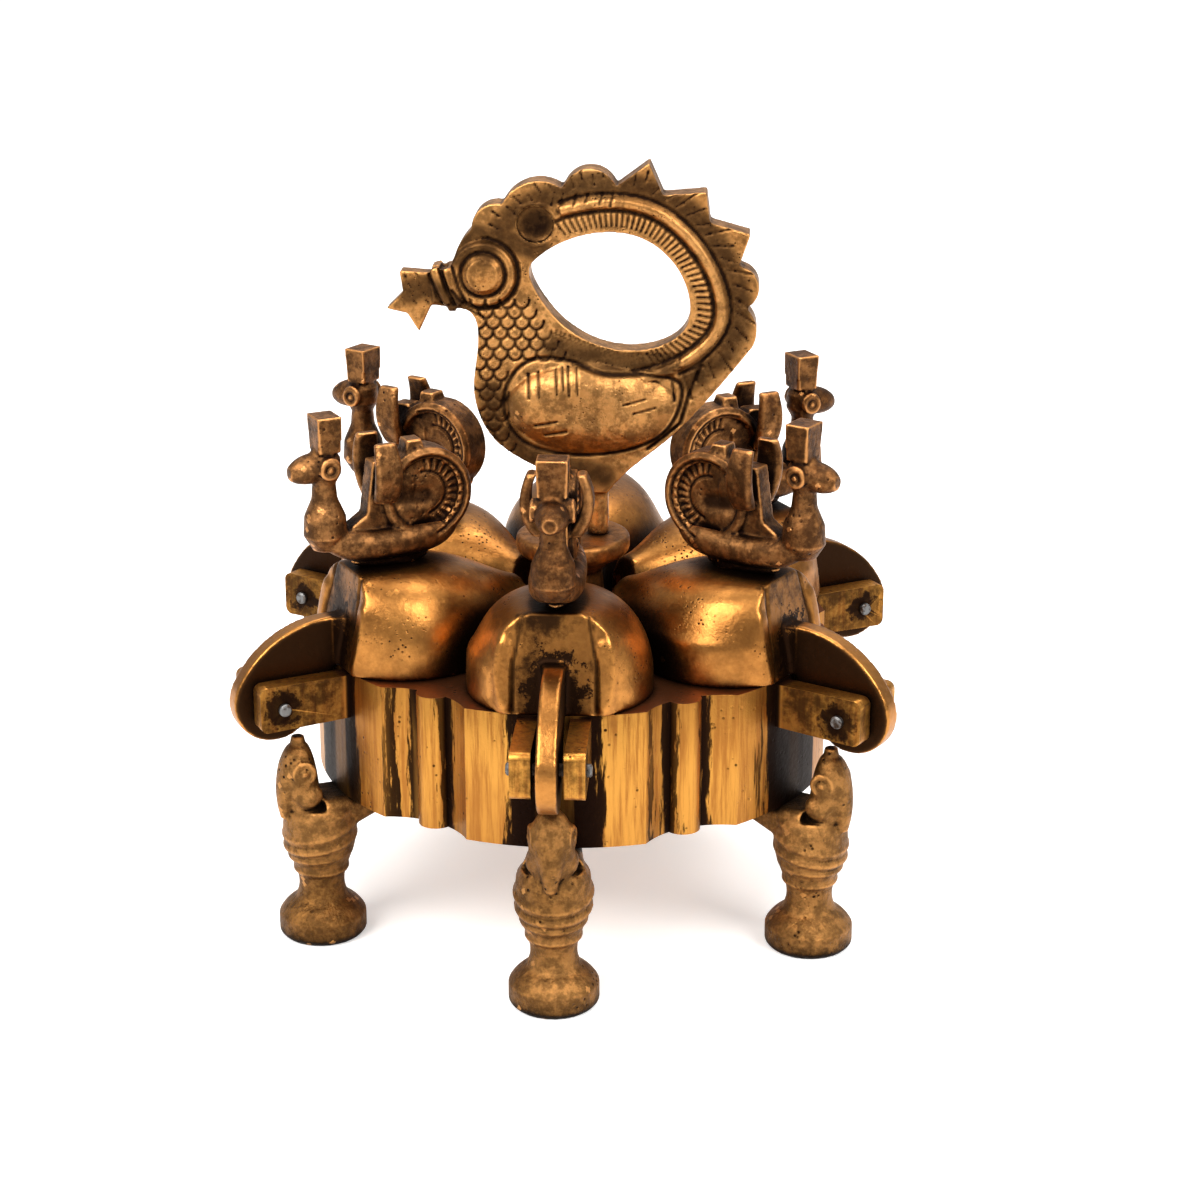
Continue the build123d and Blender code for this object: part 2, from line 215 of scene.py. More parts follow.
def ring(centre: Point, radius: float, thick: float, turn: Point = (90.0, 0.0, 0.0)) -> Piece:
    """Round ring, used for rims and eyes.

    Args:
        centre: Its centre in millimetres.
        radius: The radius of its centre line in millimetres.
        thick: The radius of its section in millimetres.
        turn: Its turn about X, Y and Z in degrees. As given, it lies in the XZ plane.

    Returns:
        The ring.
    """
    deselect_all()
    bpy.ops.mesh.primitive_torus_add(major_radius=radius * MM, minor_radius=thick * MM,
                                     major_segments=40, minor_segments=10,
                                     location=tuple(c * MM for c in centre),
                                     rotation=tuple(math.radians(t) for t in turn))
    return bpy.context.object


def bead_line(points: Iterable[Point], radius: float, name: str) -> Piece:
    """Raised line through points, used for bands and collars.

    Args:
        points: The points in millimetres.
        radius: The line's radius in millimetres.
        name: The name of the piece.

    Returns:
        The line as a mesh.
    """
    curve = bpy.data.curves.new(name, "CURVE")
    curve.dimensions = "3D"
    curve.bevel_depth = radius * MM
    curve.bevel_resolution = 3
    curve.use_fill_caps = True
    spline = curve.splines.new("NURBS")
    spots = list(points)
    spline.points.add(len(spots) - 1)
    for spot, place in zip(spline.points, spots):
        spot.co = (place[0] * MM, place[1] * MM, place[2] * MM, 1.0)
    spline.order_u = 4
    spline.use_endpoint_u = True
    line = bpy.data.objects.new(name, curve)
    bpy.context.scene.collection.objects.link(line)
    activate(line)
    bpy.ops.object.convert(target="MESH")
    return bpy.context.object


# Shader helpers


class Shader:
    """Small builder for a material's or a group's nodes."""

    def __init__(self, tree: bpy.types.NodeTree) -> None:
        """Keep the tree that the nodes go into.

        Args:
            tree: The node tree.
        """
        self.tree = tree

    def node(self, kind: str, **values: object) -> bpy.types.Node:
        """Add a node, set its attributes and its inputs.

        Args:
            kind: The node's type.
            **values: Attributes, or else inputs, whose names have underscores for spaces.

        Returns:
            The node.
        """
        node = self.tree.nodes.new(kind)
        for name, value in values.items():
            if hasattr(node, name):
                setattr(node, name, value)
            else:
                self.put(node.inputs[name.replace("_", " ")], value)
        return node

    def put(self, socket: Socket, value: object) -> None:
        """Link an output to a socket, or set the socket's value.

        Args:
            socket: The input socket.
            value: An output socket, or a plain value.
        """
        if isinstance(value, Socket):
            self.tree.links.new(value, socket)
        else:
            socket.default_value = value

    def math(self, operation: str, *values: object, clamp: bool = False) -> Socket:
        """Add a Math node.

        Args:
            operation: What it works out.
            *values: Its inputs.
            clamp: Whether its result is kept in 0 to 1.

        Returns:
            Its output.
        """
        node = self.tree.nodes.new("ShaderNodeMath")
        node.operation = operation
        node.use_clamp = clamp
        for socket, value in zip(node.inputs, values):
            self.put(socket, value)
        return node.outputs[0]

    def times(self, first: object, *others: object) -> Socket:
        """Multiply values.

        Args:
            first: The first value.
            *others: The values that it is multiplied by.

        Returns:
            The product.
        """
        for other in others:
            first = self.math("MULTIPLY", first, other)
        return first

    def most(self, first: object, *others: object) -> Socket:
        """Take the greatest of several values.

        Args:
            first: The first value.
            *others: The values that it is compared with.

        Returns:
            The greatest.
        """
        for other in others:
            first = self.math("MAXIMUM", first, other)
        return first

    def slant(self, across: object, up: object) -> Socket:
        """Distance over two legs at right angles.

        Args:
            across: The first leg.
            up: The second leg.

        Returns:
            The distance.
        """
        return self.math("SQRT", self.math("ADD", self.times(across, across), self.times(up, up)))

    def span(self, value: object, low: float, high: float, out_low: float = 0.0,
             out_high: float = 1.0) -> Socket:
        """Map a value's span smoothly to another one.

        Args:
            value: The value.
            low: The start of its span.
            high: The end of its span.
            out_low: What low maps to.
            out_high: What high maps to.

        Returns:
            The mapped value.
        """
        node = self.node("ShaderNodeMapRange", interpolation_type="SMOOTHSTEP", Value=value, From_Min=low,
                         From_Max=high, To_Min=out_low, To_Max=out_high)
        return node.outputs["Result"]

    def mix(self, factor: object, first: object, second: object) -> Socket:
        """Mix two colours.

        Args:
            factor: How much of the second.
            first: The first colour or output.
            second: The second colour or output.

        Returns:
            The mixed colour.
        """
        node = self.tree.nodes.new("ShaderNodeMix")
        node.data_type = "RGBA"
        self.put(node.inputs["Factor"], factor)
        colour_inputs = [s for s in node.inputs if s.type == "RGBA"]
        for socket, value in zip(colour_inputs, (first, second)):
            self.put(socket, value if isinstance(value, Socket) else (*value, 1.0))
        return next(s for s in node.outputs if s.type == "RGBA")

    def noise(self, vector: Socket, scale: object, detail: float, rough: float,
              distortion: float = 0.0) -> Socket:
        """Add a Noise Texture.

        Args:
            vector: Where it is read.
            scale: Its scale.
            detail: Its octaves.
            rough: How rough the finer octaves are.
            distortion: How much it swirls.

        Returns:
            Its factor output.
        """
        node = self.node("ShaderNodeTexNoise", Vector=vector, Scale=scale, Detail=detail, Roughness=rough,
                         Distortion=distortion)
        return node.outputs["Fac"]


def chase(piece: Piece, strokes: Sequence[Sequence[Point]], width: float, depth: float,
          through: int, mark: float) -> None:
    """Cut lines into a finished skin, as a chasing tool does, and mark them dark for the patina; with no
    depth it cuts nothing and only paints a shadow.

    Args:
        piece: The piece.
        strokes: The lines' points in millimetres, or one point for a round dent.
        width: Half the width of a line in millimetres.
        depth: How deep it is in millimetres; a negative depth raises a swelling.
        through: The axis along which a line is seen, 0 for X or 1 for Y; it is cut on each face.
        mark: How dark the line is.
    """
    spots: list[Vector] = []
    for stroke in strokes:
        spots.append(Vector(stroke[0]) * MM)
        for start, end in zip(stroke, stroke[1:]):
            step = (Vector(end) - Vector(start)) * MM
            count = max(1, math.ceil(step.length / (0.5 * width * MM)))
            spots.extend(Vector(start) * MM + step * (part + 1) / count for part in range(count))
    tree = KDTree(len(spots))
    for number, spot in enumerate(spots):
        spot[through] = 0.0
        tree.insert(spot, number)
    tree.balance()
    marks = piece.data.attributes.get("chased_and_shadow") or piece.data.attributes.new("chased_and_shadow", "FLOAT", "POINT")
    normals = [vertex.normal[through] for vertex in piece.data.vertices]
    for vertex, normal in zip(piece.data.vertices, normals):
        side = math.copysign(1.0, vertex.co[through])
        if normal * side < 0.35:
            continue
        place = vertex.co.copy()
        place[through] = 0.0
        cut = math.exp(-(tree.find(place)[2] / (width * MM)) ** 4)
        if cut > 0.02:
            vertex.co[through] -= side * depth * MM * cut
            known = marks.data[vertex.index]
            known.value = max(known.value, mark * cut)


# Finishes

PATINA_POWER = 1.9
PIT_COVER = 0.9


@dataclass(frozen=True)
class Effects:
    """Node groups that the finishes share."""

    patina: bpy.types.NodeTree
    petal: bpy.types.NodeTree


def publish(sh: Shader, outputs: dict[str, Socket]) -> None:
    """Give a node group its outputs.

    Args:
        sh: The builder of the group's nodes.
        outputs: The values by name.
    """
    for name in outputs:
        sh.tree.interface.new_socket(name, in_out="OUTPUT", socket_type="NodeSocketFloat")
    sh.node("NodeGroupOutput", **outputs)


def patina_and_shade_group() -> bpy.types.NodeTree:
    """Shared effect: where a casting is dark with patina in its hollows and with painted shade between and
    under parts, where it is rubbed bright, and where it is pitted.

    Returns:
        The node group, with Recess, Edge, Blotch, Cloud, Pits and Grain outputs.
    """
    group = bpy.data.node_groups.new("cast_patina_and_shade", "ShaderNodeTree")
    for name, default in (("Blotch Scale", 60.0), ("Pit Scale", 900.0), ("Reach", 0.004)):
        socket = group.interface.new_socket(name, in_out="INPUT", socket_type="NodeSocketFloat")
        socket.default_value = default
    sh = Shader(group)
    given = sh.node("NodeGroupInput")
    place = sh.node("ShaderNodeTexCoord").outputs["Object"]
    bend = sh.node("ShaderNodeNewGeometry").outputs["Pointiness"]
    # Painted shade from ambient occlusion, between and under parts, joined with patina in the creases.
    shade = sh.node("ShaderNodeAmbientOcclusion", samples=8, Distance=given.outputs["Reach"])
    occlusion_shade = sh.math("SUBTRACT", 1.0, shade.outputs["AO"])
    groove = sh.span(bend, 0.492, 0.44)
    pit = sh.node("ShaderNodeTexVoronoi", Vector=place, Scale=given.outputs["Pit Scale"])
    where = sh.span(sh.noise(place, 150.0, 4.0, 0.65), 0.50, 0.64)
    publish(sh, {
        "Hollow Patina And Shade": sh.most(sh.span(occlusion_shade, 0.12, 0.68), groove),
        "Edge": sh.span(bend, 0.508, 0.575),
        "Blotch": sh.noise(place, given.outputs["Blotch Scale"], 7.0, 0.68),
        "Cloud": sh.noise(place, 38.0, 3.0, 0.5, 0.6),
        "Pits": sh.times(sh.span(pit.outputs["Distance"], 0.30, 0.14), where),
        "Grain": sh.noise(place, 1400.0, 5.0, 0.6),
    })
    return group


def petal_group() -> bpy.types.NodeTree:
    """Shared effect: where a point lies on its own petal, one sixth of the box.

    Returns:
        The node group, with Along, Across, Rib, Radius and Height outputs in millimetres.
    """
    group = bpy.data.node_groups.new("petal_place", "ShaderNodeTree")
    sh = Shader(group)
    place = sh.node("ShaderNodeSeparateXYZ", Vector=sh.node("ShaderNodeTexCoord").outputs["Object"])
    x, y, z = place.outputs[:3]
    radius = sh.times(sh.slant(x, y), 1.0 / MM)
    sector, half = math.pi / 3.0, math.pi / 6.0
    turn = sh.math("MODULO", sh.math("ADD", sh.math("ARCTAN2", y, x), 2.0 * math.pi), sector)
    turn = sh.math("SUBTRACT", turn, half)
    to_rib = sh.math("SUBTRACT", half, sh.math("ABSOLUTE", turn))
    publish(sh, {
        "Along": sh.times(radius, sh.math("COSINE", turn)),
        "Across": sh.times(radius, sh.math("SINE", turn)),
        "Rib": sh.times(radius, sh.math("SINE", to_rib)),
        "Radius": radius,
        "Height": sh.times(z, 1.0 / MM),
    })
    return group


def new_material(name: str, metallic: float) -> tuple[bpy.types.Material, Shader, bpy.types.Node]:
    """Start a material.

    Args:
        name: Its name.
        metallic: 1 for a metal and 0 for anything else.

    Returns:
        The material, the builder of its nodes and its Principled node.
    """
    made = bpy.data.materials.new(name)
    made.use_nodes = True
    shader = made.node_tree.nodes["Principled BSDF"]
    shader.inputs["Metallic"].default_value = metallic
    return made, Shader(made.node_tree), shader


@dataclass(frozen=True)
class BrassFinish:
    """Worn cast brass: three colours, how much patina lies on it and how rough the cast is."""

    effects: Effects
    name: str
    bright: Point
    middle: Point
    dark: Point
    patina: float
    mottle: float
    rubbed: float
    gloss: float
    relief: float
    blotch_scale: float
    pit_scale: float = 900.0
    reach: float = 0.004

    def material(self) -> bpy.types.Material:
        """Build the material.

        Returns:
            The material.
        """
        made, sh, shader = new_material(self.name, 1.0)
        worn = sh.node("ShaderNodeGroup", node_tree=self.effects.patina, Blotch_Scale=self.blotch_scale,
                       Pit_Scale=self.pit_scale, Reach=self.reach)
        uneven = sh.times(sh.span(worn.outputs["Blotch"], 0.38, 0.62, -0.5, 0.5), self.mottle)
        # The hollows mask brings painted shade between and under parts into the patina here.
        cover_and_shade = sh.math("ADD", sh.math("ADD", uneven, self.patina), worn.outputs["Hollow Patina And Shade"])
        cover_and_shade = sh.most(cover_and_shade, sh.times(worn.outputs["Pits"], PIT_COVER), self.stain_and_shade(sh, worn))
        cover_and_shade = sh.math("SUBTRACT", cover_and_shade, sh.times(worn.outputs["Edge"], self.rubbed), clamp=True)
        # Painted highlight: no patina where this mask is.
        cover_and_shade = sh.times(cover_and_shade, sh.math("SUBTRACT", 1.0, self.painted_highlight(sh)))
        # Dark lines cut by chase, and painted shadows that chase marks with no cut.
        chased_and_shadow = sh.node("ShaderNodeAttribute", attribute_name="chased_and_shadow").outputs["Fac"]
        chased_and_shadow = sh.times(chased_and_shadow, sh.span(worn.outputs["Blotch"], 0.36, 0.58, 0.80, 1.0))
        cover_and_shade = sh.most(cover_and_shade, chased_and_shadow)
        depth = sh.math("SUBTRACT", 1.0, sh.math("POWER", sh.math("SUBTRACT", 1.0, cover_and_shade), PATINA_POWER))
        sh.put(shader.inputs["Base Color"], sh.mix(depth, self.metal(sh, worn), self.dark))
        rough = sh.math("ADD", sh.times(cover_and_shade, 0.24), self.gloss)
        rough = sh.math("ADD", rough, sh.times(worn.outputs["Grain"], 0.14), clamp=True)
        sh.put(shader.inputs["Roughness"], rough)
        height = sh.math("SUBTRACT", sh.times(worn.outputs["Grain"], 0.5),
                         sh.times(worn.outputs["Pits"], 1.2))
        height = sh.math("ADD", height, worn.outputs["Blotch"])
        bump = sh.node("ShaderNodeBump", Height=height, Strength=self.relief, Distance=0.5 * MM)
        sh.put(shader.inputs["Normal"], bump.outputs["Normal"])
        return made

    def stain_and_shade(self, sh: Shader, worn: bpy.types.Node) -> object:
        """Say where patina lies thick and shade is painted at places of its own; plain castings have neither.

        Args:
            sh: The builder of this material's nodes.
            worn: The patina group's node.

        Returns:
            The mask, or 0.
        """
        return 0.0

    def painted_highlight(self, sh: Shader) -> object:
        """Say where a highlight is painted by leaving the patina off; plain castings have no such place.

        Args:
            sh: The builder of this material's nodes.

        Returns:
            The mask, or 0.
        """
        return 0.0

    def metal(self, sh: Shader, worn: bpy.types.Node) -> Socket:
        """Colour of the bare metal.

        Args:
            sh: The builder of this material's nodes.
            worn: The patina group's node.

        Returns:
            The colour.
        """
        tone = sh.math("ADD", sh.span(worn.outputs["Grain"], 0.35, 0.68, 0.0, 0.35),
                       sh.span(worn.outputs["Cloud"], 0.35, 0.62, 0.0, 0.65))
        colour = sh.mix(tone, self.middle, self.bright)
        return sh.mix(sh.times(worn.outputs["Edge"], self.rubbed), colour, self.bright)

    def upright(self, sh: Shader, scale: float, detail: float, squash: float) -> Socket:
        """Noise drawn out along the height, as a vertical brushing leaves it.

        Args:
            sh: The builder of this material's nodes.
            scale: Its scale across the streaks.
            detail: Its octaves.
            squash: Its scale along the streaks, as a share of that across them.

        Returns:
            The noise.
        """
        place = sh.node("ShaderNodeTexCoord").outputs["Object"]
        drawn = sh.node("ShaderNodeMapping", Vector=place)
        drawn.inputs["Scale"].default_value = (1.0, 1.0, squash)
        return sh.noise(drawn.outputs["Vector"], scale, detail, 0.68)


@dataclass(frozen=True)
class DrumFinish(BrassFinish):
    """Brushed drum wall: golden fields, near-black stripes by the ribs, painted shade down the wall at the
    ears, and a red-brown deck.
    """

    deck: Point = (0.25, 0.090, 0.036)
    lobe_r: float = 41.3
    pin_r: float = 51.7
    pin_z: float = 40.9
    ragged: float = 6.5

    def stain_and_shade(self, sh: Shader, worn: bpy.types.Node) -> Socket:
        """Dark stripes beside the ribs, painted shade down the wall at the ears, and darker rounds about the
        pins and on the ears' sides.

        Args:
            sh: The builder of this material's nodes.
            worn: The patina group's node.

        Returns:
            The mask.
        """
        petal = sh.node("ShaderNodeGroup", node_tree=self.effects.petal)
        torn = sh.times(sh.math("SUBTRACT", self.upright(sh, 700.0, 7.0, 0.12), 0.5), self.ragged)
        rib = sh.math("ADD", petal.outputs["Rib"], torn)
        beside = sh.times(sh.span(rib, 1.8, 2.3), sh.span(rib, 4.6, 3.9))
        second = sh.times(sh.span(rib, 5.6, 6.0), sh.span(rib, 7.7, 7.1))
        second = sh.times(second, sh.span(petal.outputs["Across"], -2.0, 2.0, 0.10, 1.0))
        across = sh.math("ADD", sh.math("ABSOLUTE", petal.outputs["Across"]), torn)
        # Painted shade: a dark stripe down the wall at the ears.
        ear_shade = sh.span(across, 7.7, 6.9, 0.0, 0.97)
        loose = sh.span(self.upright(sh, 260.0, 8.0, 0.07), 0.58, 0.66, 0.0, 0.9)
        stripes = sh.most(beside, second, ear_shade, loose)
        normal = sh.node("ShaderNodeNewGeometry").outputs["Normal"]
        level = sh.math("ABSOLUTE", sh.node("ShaderNodeSeparateXYZ", Vector=normal).outputs["Z"])
        wall = sh.times(sh.span(petal.outputs["Radius"], self.lobe_r + 1.0, self.lobe_r + 0.3),
                        sh.span(petal.outputs["Radius"], 35.5, 36.5), sh.span(level, 0.6, 0.3))
        off_x = sh.math("SUBTRACT", petal.outputs["Along"], self.pin_r)
        off_z = sh.math("SUBTRACT", petal.outputs["Height"], self.pin_z)
        far = sh.slant(off_x, off_z)
        blot = sh.times(sh.math("SUBTRACT", worn.outputs["Blotch"], 0.5), 9.0)
        ring_mark = sh.span(sh.math("ADD", far, blot), 3.9, 1.9, 0.0, 0.95)
        on_ear = sh.span(petal.outputs["Radius"], self.lobe_r + 0.6, self.lobe_r + 1.6)
        ear_side = sh.times(sh.span(level, 0.5, 0.2), on_ear)
        # Darker rounds about the pins and darker blotches on the ears' sides.
        ear_side_dark = sh.most(ring_mark, sh.span(worn.outputs["Blotch"], 0.38, 0.62, 0.30, 0.72))
        return sh.most(sh.times(stripes, wall), sh.times(ear_side_dark, ear_side))

    def metal(self, sh: Shader, worn: bpy.types.Node) -> Socket:
        """Colour of the bare metal: golden and brown streaks, and the deck.

        Args:
            sh: The builder of this material's nodes.
            worn: The patina group's node.

        Returns:
            The colour.
        """
        tone = sh.times(sh.span(self.upright(sh, 1100.0, 8.0, 0.06), 0.36, 0.60, 0.0, 1.0),
                       sh.span(worn.outputs["Cloud"], 0.36, 0.56, 0.45, 1.0))
        colour = sh.mix(tone, self.middle, self.bright)
        normal = sh.node("ShaderNodeNewGeometry").outputs["Normal"]
        top = sh.span(sh.node("ShaderNodeSeparateXYZ", Vector=normal).outputs["Z"], 0.6, 0.9)
        petal = sh.node("ShaderNodeGroup", node_tree=self.effects.petal)
        inside = sh.span(petal.outputs["Radius"], self.lobe_r + 1.8, self.lobe_r + 0.9)
        return sh.mix(sh.times(top, inside), colour, self.deck)


@dataclass(frozen=True)
class LidFinish(BrassFinish):
    """Lid brass: golden-brown dome, a darker facet, a black patch at the tongue, painted shade on the
    tongue's flanks and a painted highlight on its outer band.
    """

    root_z: float = 49.0
    facet_half: float = 6.0

    def stain_and_shade(self, sh: Shader, worn: bpy.types.Node) -> Socket:
        """Dark patch at the tongue's root, streaks down the facet and painted shade on the flanks of the
        tongue.

        Args:
            sh: The builder of this material's nodes.
            worn: The patina group's node.

        Returns:
            The mask.
        """
        petal = sh.node("ShaderNodeGroup", node_tree=self.effects.petal)
        along, height = petal.outputs["Along"], petal.outputs["Height"]
        across = sh.math("ABSOLUTE", petal.outputs["Across"])
        blot = sh.math("SUBTRACT", worn.outputs["Blotch"], 0.5)
        rise = sh.times(sh.math("SUBTRACT", height, self.root_z), 0.8)
        far = sh.slant(across, rise)
        place = sh.node("ShaderNodeTexCoord").outputs["Object"]
        speckle = sh.math("SUBTRACT", sh.noise(place, 420.0, 8.0, 0.78), 0.5)
        patch = sh.span(sh.math("ADD", far, sh.times(speckle, 17.0)), 4.8, 3.9, 0.0, 0.98)
        outer = sh.span(along, 36.0, 38.0)
        # Painted shade on the tongue's flanks, under its outer band.
        flank_shade = sh.span(sh.math("ADD", across, sh.times(blot, 0.5)), 1.38, 1.52, 0.0, 0.88)
        flank_shade = sh.times(flank_shade, sh.span(along, 41.6, 42.4))
        strip = sh.times(sh.span(across, self.facet_half + 0.4, self.facet_half - 0.4), outer)
        strip = sh.times(strip, sh.span(worn.outputs["Blotch"], 0.42, 0.64, 0.25, 0.85))
        patch = sh.times(patch, outer, sh.span(along, 42.3, 41.7))
        return sh.most(strip, flank_shade, patch)

    def painted_highlight(self, sh: Shader) -> Socket:
        """Outer band of the tongue, painted bright as a highlight.

        Args:
            sh: The builder of this material's nodes.

        Returns:
            The mask.
        """
        petal = sh.node("ShaderNodeGroup", node_tree=self.effects.petal)
        across = sh.math("ABSOLUTE", petal.outputs["Across"])
        band = sh.span(petal.outputs["Along"], 42.0, 42.8)
        return sh.times(band, sh.span(across, 1.5, 1.25, 0.0, 0.85))


@dataclass(frozen=True)
class SteelFinish:
    """Dull grey steel of the hinge pins, with fine turning marks, brown oxide in blotches and painted shade
    at the rim.
    """

    effects: Effects
    name: str = "pin_steel"
    colour: Point = (0.20, 0.20, 0.20)
    rust_and_shade: Point = (0.05, 0.032, 0.022)

    def material(self) -> bpy.types.Material:
        """Build the material.

        Returns:
            The material.
        """
        made, sh, shader = new_material(self.name, 1.0)
        worn = sh.node("ShaderNodeGroup", node_tree=self.effects.patina, Blotch_Scale=900.0, Reach=0.0015)
        # Brown oxide in blotches, and painted shade in the hollows where the pin meets the ears.
        rust_and_shade = sh.most(sh.span(worn.outputs["Blotch"], 0.48, 0.64), worn.outputs["Hollow Patina And Shade"])
        sh.put(shader.inputs["Base Color"], sh.mix(rust_and_shade, self.colour, self.rust_and_shade))
        sh.put(shader.inputs["Roughness"], sh.span(worn.outputs["Grain"], 0.2, 0.8, 0.36, 0.62))
        bump = sh.node("ShaderNodeBump", Height=worn.outputs["Grain"], Strength=0.2, Distance=0.2 * MM)
        sh.put(shader.inputs["Normal"], bump.outputs["Normal"])
        return made


def paint(obj: Piece, material: bpy.types.Material) -> None:
    """Give an object one material.

    Args:
        obj: The object.
        material: The material.
    """
    obj.data.materials.clear()
    obj.data.materials.append(material)


# Sub-assemblies


@dataclass
class Drum:
    """Drum, hinge ears and pins: the CAD shapes, with soft edges and their finishes."""

    finish: DrumFinish
    pins: SteelFinish
    edge: float = 0.26

    def dress(self) -> None:
        """Soften the drum's edges and give drum and pins their materials."""
        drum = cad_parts["box_body"]
        weld = drum.modifiers.new("weld", "WELD")
        weld.merge_threshold = WELD
        bevel = drum.modifiers.new("soft_edges", "BEVEL")
        bevel.width = self.edge * MM
        bevel.segments = 2
        bevel.limit_method = "ANGLE"
        bevel.angle_limit = math.radians(32)
        paint(drum, self.finish.material())
        steel = self.pins.material()
        for petal in PETALS:
            paint(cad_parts[f"hinge_pin_{petal}"], steel)
        log.info("drum and pins dressed")


@dataclass
class PetalLid:
    """Domed petal lid: a leaning facet between two creases, a flat under the knob and a hinge tongue."""

    finish: LidFinish
    voxel: float = 0.34
    crease_low: tuple[float, float] = (6.1, 45.6)
    crease_high: tuple[float, float] = (4.9, 59.4)
    shoulder: float = 7.5

    def creases(self) -> list[list[Point]]:
        """Lines down both sides of the facet, as Y and height.

        Returns:
            The two lines.
        """
        (low_y, low_z), (high_y, high_z) = self.crease_low, self.crease_high
        middle_z = 0.5 * (low_z + high_z)
        return [[(0.0, side.value * low_y, low_z), (0.0, side.value * low_y, middle_z),
                 (0.0, side.value * high_y, high_z)] for side in Side]

    def shoulders(self) -> list[list[Point]]:
        """Lines along which the dome swells beside the facet, as Y and height.

        Returns:
            The two lines.
        """
        low, high = self.crease_low[1] + 1.5, self.crease_high[1] - 4.5
        return [[(0.0, side.value * self.shoulder, z) for z in (low, high)] for side in Side]

    def build(self) -> None:
        """Make the lid once and copy it to the six hinges."""
        material = self.finish.material()
        model = copy_of_node("lid_back_right", "lid_model", PETALS["back_right"])
        cast_skin(model, self.voxel, 4)
        chase(model, self.shoulders(), 1.5, -0.45, through=0, mark=0.0)
        chase(model, self.creases(), 0.34, 0.28, through=0, mark=0.75)
        paint(model, material)
        for petal, degrees in PETALS.items():
            lid = turned_copy(model, f"brass_lid_{petal}", degrees)
            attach(lid, f"lid_body_{petal}")
            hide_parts(f"lid_{petal}")
            log.info("lid %s", petal)
        bpy.data.objects.remove(model)


@dataclass
class BirdKnob:
    """Bird on a lid: boat-shaped body, curled tail with a ribbed rim, wings, ring eyes and a tall crest."""

    finish: BrassFinish
    voxel: float = 0.25
    seat: tuple[float, float] = (31.5, 61.0)
    trim: float = 3.7
    tail_x: float = 25.9
    tail_z: float = 70.8
    tail_r: float = 7.0
    eye_x: float = 42.0
    eye_z: float = 76.9

    def details(self) -> list[Piece]:
        """Rim of the tail, eyes and the seat on the lid, to fuse with the cast shape.

        Returns:
            The pieces.
        """
        made = [pebble((self.seat[0], 0.0, self.seat[1]), (6.5, 2.3, 1.5)),
                pebble((self.tail_x + 3.2, 0.0, self.tail_z - 3.4), (7.2, 1.9, 4.8), (0.0, 24.0, 0.0), 12)]
        for side in Side:
            y = side.value * 2.0
            made.append(ring((self.tail_x, y, self.tail_z), self.tail_r - 0.5, 0.8))
            made.append(ring((self.eye_x, side.value * 2.95, self.eye_z), 1.25, 0.42))
            made.append(pebble((self.eye_x, side.value * 2.8, self.eye_z), (0.6, 0.6, 0.6)))
        return made

    def shorten(self, bird: Piece) -> None:
        """Cut the top off a crest, as on the back bird, which stays hidden behind the peacock.

        Args:
            bird: The bird.
        """
        top = max(vertex.co.z for vertex in bird.data.vertices) - self.trim * MM
        activate(bird)
        bpy.ops.object.mode_set(mode="EDIT")
        bpy.ops.mesh.select_all(action="SELECT")
        bpy.ops.mesh.bisect(plane_co=(0.0, 0.0, top), plane_no=(0.0, 0.0, 1.0), use_fill=True,
                            clear_outer=True)
        bpy.ops.object.mode_set(mode="OBJECT")

    def on_tail(self, radius: float, degrees: float) -> Point:
        """Place on the tail at a distance and an angle from its middle.

        Args:
            radius: The distance in millimetres.
            degrees: The angle from straight back, upwards.

        Returns:
            The place in millimetres.
        """
        angle = math.radians(180.0 - degrees)
        return (self.tail_x + radius * math.cos(angle), 0.0, self.tail_z + radius * math.sin(angle))

    def build(self) -> None:
        """Make the bird once and copy it to the six lids."""
        material = self.finish.material()
        body = copy_of_node("bird_knob_back_right", "bird_body", PETALS["back_right"])
        model = join([body, *self.details()], "bird_model")
        cast_skin(model, self.voxel, 2)
        ribs = [[self.on_tail(3.9, angle), self.on_tail(5.6, angle + 4.0)] for angle in range(-66, 96, 14)]
        lip = [self.on_tail(3.4, angle) for angle in range(-80, 106, 15)]
        rim = [self.on_tail(6.1, angle) for angle in range(-80, 121, 15)]
        slot = [(self.tail_x, 0.0, self.tail_z - 0.6), (self.tail_x + 4.2, 0.0, self.tail_z - 0.2)]
        chase(model, ribs, 0.22, 0.22, through=1, mark=0.55)
        chase(model, [lip, rim], 0.28, 0.28, through=1, mark=0.8)
        chase(model, [slot], 1.5, 0.4, through=1, mark=0.85)
        paint(model, material)
        for petal, degrees in PETALS.items():
            bird = turned_copy(model, f"brass_bird_{petal}", degrees)
            if petal == "back":
                self.shorten(bird)
            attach(bird, f"lid_body_{petal}")
            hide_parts(f"bird_knob_{petal}")
            log.info("bird %s, %d faces", petal, len(bird.data.polygons))
        bpy.data.objects.remove(model)


